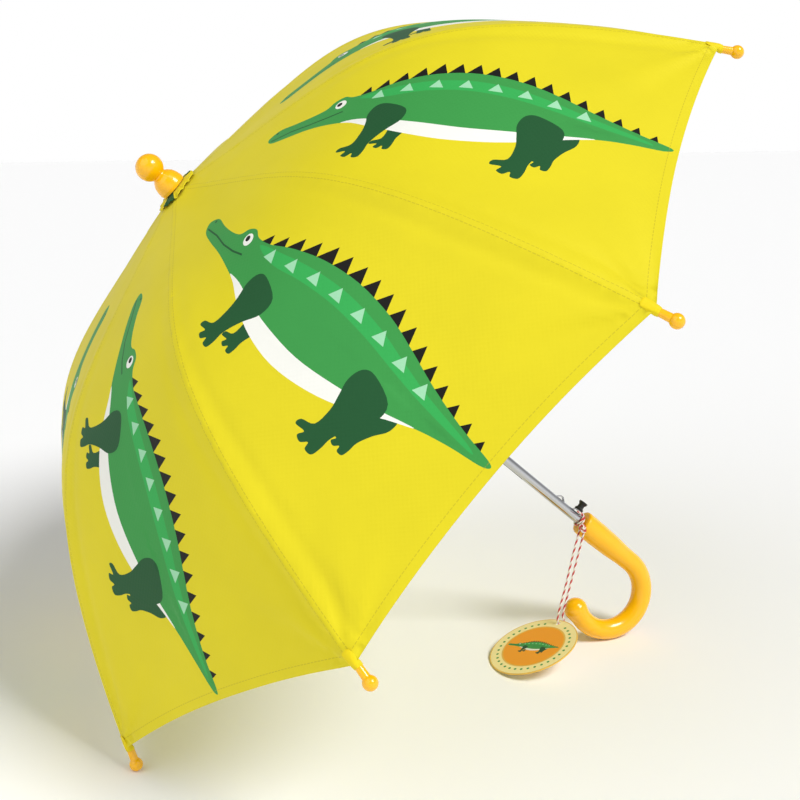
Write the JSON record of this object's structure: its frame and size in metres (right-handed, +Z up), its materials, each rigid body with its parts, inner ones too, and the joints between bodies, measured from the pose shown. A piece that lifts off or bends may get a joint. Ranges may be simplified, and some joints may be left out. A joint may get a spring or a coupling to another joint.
{
  "type": "children's umbrella",
  "caption": "Domed stick umbrella for a child: sewn canopy on hinged ribs and stretchers, sliding runner, push-button catch, crook handle and ball tips.",
  "frame": {"origin": "middle of the umbrella's outline on the floor, without its tag and twine", "axes": "+Z up from the floor; the shaft leans in the XZ plane with its ferrule towards -X and +Z; Y is across the canopy, which is symmetric about the XZ plane"},
  "size_m": [0.486, 0.6562, 0.5124],
  "materials": {
    "cloth": "printed polyester pongee",
    "steel": "nickel plated steel",
    "rib_steel": "black enamelled fluted steel",
    "yellow_plastic": "glossy moulded plastic",
    "black_plastic": "moulded plastic",
    "leaf_steel": "spring steel",
    "twine": "red and white cotton twine",
    "card": "coated printed card"
  },
  "bodies": {
    "stick": {"shaft": "steel", "top_notch": "black_plastic", "notch_wire": "steel", "ferrule": "yellow_plastic", "crown_rosette": "cloth", "spring_stop": "black_plastic", "opening_spring": "leaf_steel", "handle": "yellow_plastic", "tag_twine": "twine", "hang_tag": "card"},
    "runner": {"runner": "black_plastic", "runner_pin": "steel"},
    "catch": {"lower_catch_spring": "leaf_steel", "push_button": "black_plastic"},
    "rib_1": {"rib_1": "rib_steel", "rib_tip_1": "yellow_plastic"},
    "stretcher_1": {"stretcher_1": "rib_steel"},
    "rib_2": {"rib_2": "rib_steel", "rib_tip_2": "yellow_plastic"},
    "stretcher_2": {"stretcher_2": "rib_steel"},
    "rib_3": {"rib_3": "rib_steel", "rib_tip_3": "yellow_plastic"},
    "stretcher_3": {"stretcher_3": "rib_steel"},
    "rib_4": {"rib_4": "rib_steel", "rib_tip_4": "yellow_plastic"},
    "stretcher_4": {"stretcher_4": "rib_steel"},
    "rib_5": {"rib_5": "rib_steel", "rib_tip_5": "yellow_plastic"},
    "stretcher_5": {"stretcher_5": "rib_steel"},
    "rib_6": {"rib_6": "rib_steel", "rib_tip_6": "yellow_plastic"},
    "stretcher_6": {"stretcher_6": "rib_steel"},
    "rib_7": {"rib_7": "rib_steel", "rib_tip_7": "yellow_plastic"},
    "stretcher_7": {"stretcher_7": "rib_steel"},
    "rib_8": {"rib_8": "rib_steel", "rib_tip_8": "yellow_plastic"},
    "stretcher_8": {"stretcher_8": "rib_steel"},
    "panel_1_near": {"panel_1_near": "cloth"},
    "panel_1_far": {"panel_1_far": "cloth"},
    "panel_2_near": {"panel_2_near": "cloth"},
    "panel_2_far": {"panel_2_far": "cloth"},
    "panel_3_near": {"panel_3_near": "cloth"},
    "panel_3_far": {"panel_3_far": "cloth"},
    "panel_4_near": {"panel_4_near": "cloth"},
    "panel_4_far": {"panel_4_far": "cloth"},
    "panel_5_near": {"panel_5_near": "cloth"},
    "panel_5_far": {"panel_5_far": "cloth"},
    "panel_6_near": {"panel_6_near": "cloth"},
    "panel_6_far": {"panel_6_far": "cloth", "closure_strap": "cloth"},
    "panel_7_near": {"panel_7_near": "cloth"},
    "panel_7_far": {"panel_7_far": "cloth"},
    "panel_8_near": {"panel_8_near": "cloth"},
    "panel_8_far": {"panel_8_far": "cloth"}
  },
  "joints": [
    {"name": "runner_slide", "type": "slide", "parent": "stick", "child": "runner", "axis": [0.755, 0, -0.6558], "range_m": [0, 0.25782], "deforming": ["opening_spring"]},
    {"name": "catch_press", "type": "hinge", "parent": "stick", "child": "catch", "pos_m": [0.18199, 0.00035, 0.10255], "axis": [0.1139, -0.9848, 0.1311], "range_deg": [0, 5], "stiffness_Nm_per_rad": 0.25},
    {"name": "rib_1_fold", "type": "hinge", "parent": "stick", "child": "rib_1", "pos_m": [-0.14279, -0.00383, 0.39428], "axis": [0.251, 0.9239, 0.2889], "range_deg": [0, 56.21]},
    {"name": "stretcher_1_fold", "type": "hinge", "parent": "rib_1", "child": "stretcher_1", "pos_m": [0.00027, -0.07249, 0.48959], "axis": [0.251, 0.9239, 0.2889], "range_deg": [-112.42, 0]},
    {"name": "rib_2_fold", "type": "hinge", "parent": "stick", "child": "rib_2", "pos_m": [-0.14634, -0.00924, 0.3902], "axis": [0.6058, 0.3827, 0.6975], "range_deg": [0, 56.21]},
    {"name": "stretcher_2_fold", "type": "hinge", "parent": "rib_2", "child": "stretcher_2", "pos_m": [-0.06695, -0.17501, 0.4122], "axis": [0.6058, 0.3827, 0.6975], "range_deg": [-112.42, 0]},
    {"name": "rib_3_fold", "type": "hinge", "parent": "stick", "child": "rib_3", "pos_m": [-0.15136, -0.00924, 0.38442], "axis": [0.6058, -0.3827, 0.6975], "range_deg": [0, 56.21]},
    {"name": "stretcher_3_fold", "type": "hinge", "parent": "rib_3", "child": "stretcher_3", "pos_m": [-0.16203, -0.17501, 0.30274], "axis": [0.6058, -0.3827, 0.6975], "range_deg": [-112.42, 0]},
    {"name": "rib_4_fold", "type": "hinge", "parent": "stick", "child": "rib_4", "pos_m": [-0.1549, -0.00383, 0.38033], "axis": [0.251, -0.9239, 0.2889], "range_deg": [0, 56.21]},
    {"name": "stretcher_4_fold", "type": "hinge", "parent": "rib_4", "child": "stretcher_4", "pos_m": [-0.22926, -0.07249, 0.22534], "axis": [0.251, -0.9239, 0.2889], "range_deg": [-112.42, 0]},
    {"name": "rib_5_fold", "type": "hinge", "parent": "stick", "child": "rib_5", "pos_m": [-0.1549, 0.00383, 0.38033], "axis": [-0.251, -0.9239, -0.2889], "range_deg": [0, 56.21]},
    {"name": "stretcher_5_fold", "type": "hinge", "parent": "rib_5", "child": "stretcher_5", "pos_m": [-0.22926, 0.07249, 0.22534], "axis": [-0.251, -0.9239, -0.2889], "range_deg": [-112.42, 0]},
    {"name": "rib_6_fold", "type": "hinge", "parent": "stick", "child": "rib_6", "pos_m": [-0.15136, 0.00924, 0.38442], "axis": [-0.6058, -0.3827, -0.6975], "range_deg": [0, 56.21]},
    {"name": "stretcher_6_fold", "type": "hinge", "parent": "rib_6", "child": "stretcher_6", "pos_m": [-0.16203, 0.17501, 0.30274], "axis": [-0.6058, -0.3827, -0.6975], "range_deg": [-112.42, 0]},
    {"name": "rib_7_fold", "type": "hinge", "parent": "stick", "child": "rib_7", "pos_m": [-0.14634, 0.00924, 0.3902], "axis": [-0.6058, 0.3827, -0.6975], "range_deg": [0, 56.21]},
    {"name": "stretcher_7_fold", "type": "hinge", "parent": "rib_7", "child": "stretcher_7", "pos_m": [-0.06695, 0.17501, 0.4122], "axis": [-0.6058, 0.3827, -0.6975], "range_deg": [-112.42, 0]},
    {"name": "rib_8_fold", "type": "hinge", "parent": "stick", "child": "rib_8", "pos_m": [-0.14279, 0.00383, 0.39428], "axis": [-0.251, 0.9239, -0.2889], "range_deg": [0, 56.21]},
    {"name": "stretcher_8_fold", "type": "hinge", "parent": "rib_8", "child": "stretcher_8", "pos_m": [0.00027, 0.07249, 0.48959], "axis": [-0.251, 0.9239, -0.2889], "range_deg": [-112.42, 0]},
    {"name": "panel_1_near_fold", "type": "hinge", "parent": "rib_1", "child": "panel_1_near", "pos_m": [-0.14329, -0.00566, 0.39371], "axis": [-0.0114, -0.8311, 0.556], "range_deg": [0, 21.77], "deforming": ["panel_1_near"]},
    {"name": "panel_1_far_fold", "type": "hinge", "parent": "rib_2", "child": "panel_1_far", "pos_m": [-0.14513, -0.00848, 0.39158], "axis": [-0.2633, 0.4123, -0.8722], "range_deg": [0, 21.77], "deforming": ["panel_1_far"]},
    {"name": "panel_2_near_fold", "type": "hinge", "parent": "rib_2", "child": "panel_2_near", "pos_m": [-0.14754, -0.01, 0.38881], "axis": [-0.476, -0.8792, 0.0211], "range_deg": [0, 21.77], "deforming": ["panel_2_near"]},
    {"name": "panel_2_far_fold", "type": "hinge", "parent": "rib_3", "child": "panel_2_far", "pos_m": [-0.15015, -0.01, 0.38581], "axis": [0.0875, 0.8792, -0.4683], "range_deg": [0, 21.77], "deforming": ["panel_2_far"]},
    {"name": "panel_3_near_fold", "type": "hinge", "parent": "rib_3", "child": "panel_3_near", "pos_m": [-0.15256, -0.00848, 0.38303], "axis": [-0.8268, -0.4123, -0.3827], "range_deg": [0, 21.77], "deforming": ["panel_3_near"]},
    {"name": "panel_3_far_fold", "type": "hinge", "parent": "rib_4", "child": "panel_3_far", "pos_m": [-0.15441, -0.00566, 0.38091], "axis": [0.5521, 0.8311, 0.0665], "range_deg": [0, 21.77], "deforming": ["panel_3_far"]},
    {"name": "panel_4_near_fold", "type": "hinge", "parent": "rib_4", "child": "panel_4_near", "pos_m": [-0.1554, -0.00199, 0.37976], "axis": [-0.8583, 0.2962, -0.419], "range_deg": [0, 21.77], "deforming": ["panel_4_near"]},
    {"name": "panel_4_far_fold", "type": "hinge", "parent": "rib_5", "child": "panel_4_far", "pos_m": [-0.1554, 0.00199, 0.37976], "axis": [0.8583, 0.2962, 0.419], "range_deg": [0, 21.77], "deforming": ["panel_4_far"]},
    {"name": "panel_5_near_fold", "type": "hinge", "parent": "rib_5", "child": "panel_5_near", "pos_m": [-0.15441, 0.00566, 0.38091], "axis": [-0.5521, 0.8311, -0.0665], "range_deg": [0, 21.77], "deforming": ["panel_5_near"]},
    {"name": "panel_5_far_fold", "type": "hinge", "parent": "rib_6", "child": "panel_5_far", "pos_m": [-0.15256, 0.00848, 0.38303], "axis": [0.8268, -0.4123, 0.3827], "range_deg": [0, 21.77], "deforming": ["panel_5_far"]},
    {"name": "panel_6_near_fold", "type": "hinge", "parent": "rib_6", "child": "panel_6_near", "pos_m": [-0.15015, 0.01, 0.38581], "axis": [-0.0875, 0.8792, 0.4683], "range_deg": [0, 21.77], "deforming": ["panel_6_near"]},
    {"name": "panel_6_far_fold", "type": "hinge", "parent": "rib_7", "child": "panel_6_far", "pos_m": [-0.14754, 0.01, 0.38881], "axis": [0.476, -0.8792, -0.0211], "range_deg": [0, 21.77], "deforming": ["panel_6_far", "closure_strap"]},
    {"name": "panel_7_near_fold", "type": "hinge", "parent": "rib_7", "child": "panel_7_near", "pos_m": [-0.14513, 0.00848, 0.39158], "axis": [0.2633, 0.4123, 0.8722], "range_deg": [0, 21.77], "deforming": ["panel_7_near"]},
    {"name": "panel_7_far_fold", "type": "hinge", "parent": "rib_8", "child": "panel_7_far", "pos_m": [-0.14329, 0.00566, 0.39371], "axis": [0.0114, -0.8311, -0.556], "range_deg": [0, 21.77], "deforming": ["panel_7_far"]},
    {"name": "panel_8_near_fold", "type": "hinge", "parent": "rib_8", "child": "panel_8_near", "pos_m": [-0.14229, 0.00199, 0.39486], "axis": [0.2948, -0.2962, 0.9085], "range_deg": [0, 21.77], "deforming": ["panel_8_near"]},
    {"name": "panel_8_far_fold", "type": "hinge", "parent": "rib_1", "child": "panel_8_far", "pos_m": [-0.14229, -0.00199, 0.39486], "axis": [-0.2948, -0.2962, -0.9085], "range_deg": [0, 21.77], "deforming": ["panel_8_far"]}
  ],
  "couplings": [
    {"joint": "rib_1_fold", "follows": "runner_slide", "rad_per_m": 3.8045},
    {"joint": "stretcher_1_fold", "follows": "runner_slide", "rad_per_m": -7.609},
    {"joint": "rib_2_fold", "follows": "runner_slide", "rad_per_m": 3.8045},
    {"joint": "stretcher_2_fold", "follows": "runner_slide", "rad_per_m": -7.609},
    {"joint": "rib_3_fold", "follows": "runner_slide", "rad_per_m": 3.8045},
    {"joint": "stretcher_3_fold", "follows": "runner_slide", "rad_per_m": -7.609},
    {"joint": "rib_4_fold", "follows": "runner_slide", "rad_per_m": 3.8045},
    {"joint": "stretcher_4_fold", "follows": "runner_slide", "rad_per_m": -7.609},
    {"joint": "rib_5_fold", "follows": "runner_slide", "rad_per_m": 3.8045},
    {"joint": "stretcher_5_fold", "follows": "runner_slide", "rad_per_m": -7.609},
    {"joint": "rib_6_fold", "follows": "runner_slide", "rad_per_m": 3.8045},
    {"joint": "stretcher_6_fold", "follows": "runner_slide", "rad_per_m": -7.609},
    {"joint": "rib_7_fold", "follows": "runner_slide", "rad_per_m": 3.8045},
    {"joint": "stretcher_7_fold", "follows": "runner_slide", "rad_per_m": -7.609},
    {"joint": "rib_8_fold", "follows": "runner_slide", "rad_per_m": 3.8045},
    {"joint": "stretcher_8_fold", "follows": "runner_slide", "rad_per_m": -7.609},
    {"joint": "panel_1_near_fold", "follows": "runner_slide", "rad_per_m": 1.4728},
    {"joint": "panel_1_far_fold", "follows": "runner_slide", "rad_per_m": 1.4728},
    {"joint": "panel_2_near_fold", "follows": "runner_slide", "rad_per_m": 1.4728},
    {"joint": "panel_2_far_fold", "follows": "runner_slide", "rad_per_m": 1.4728},
    {"joint": "panel_3_near_fold", "follows": "runner_slide", "rad_per_m": 1.4728},
    {"joint": "panel_3_far_fold", "follows": "runner_slide", "rad_per_m": 1.4728},
    {"joint": "panel_4_near_fold", "follows": "runner_slide", "rad_per_m": 1.4728},
    {"joint": "panel_4_far_fold", "follows": "runner_slide", "rad_per_m": 1.4728},
    {"joint": "panel_5_near_fold", "follows": "runner_slide", "rad_per_m": 1.4728},
    {"joint": "panel_5_far_fold", "follows": "runner_slide", "rad_per_m": 1.4728},
    {"joint": "panel_6_near_fold", "follows": "runner_slide", "rad_per_m": 1.4728},
    {"joint": "panel_6_far_fold", "follows": "runner_slide", "rad_per_m": 1.4728},
    {"joint": "panel_7_near_fold", "follows": "runner_slide", "rad_per_m": 1.4728},
    {"joint": "panel_7_far_fold", "follows": "runner_slide", "rad_per_m": 1.4728},
    {"joint": "panel_8_near_fold", "follows": "runner_slide", "rad_per_m": 1.4728},
    {"joint": "panel_8_far_fold", "follows": "runner_slide", "rad_per_m": 1.4728}
  ]
}
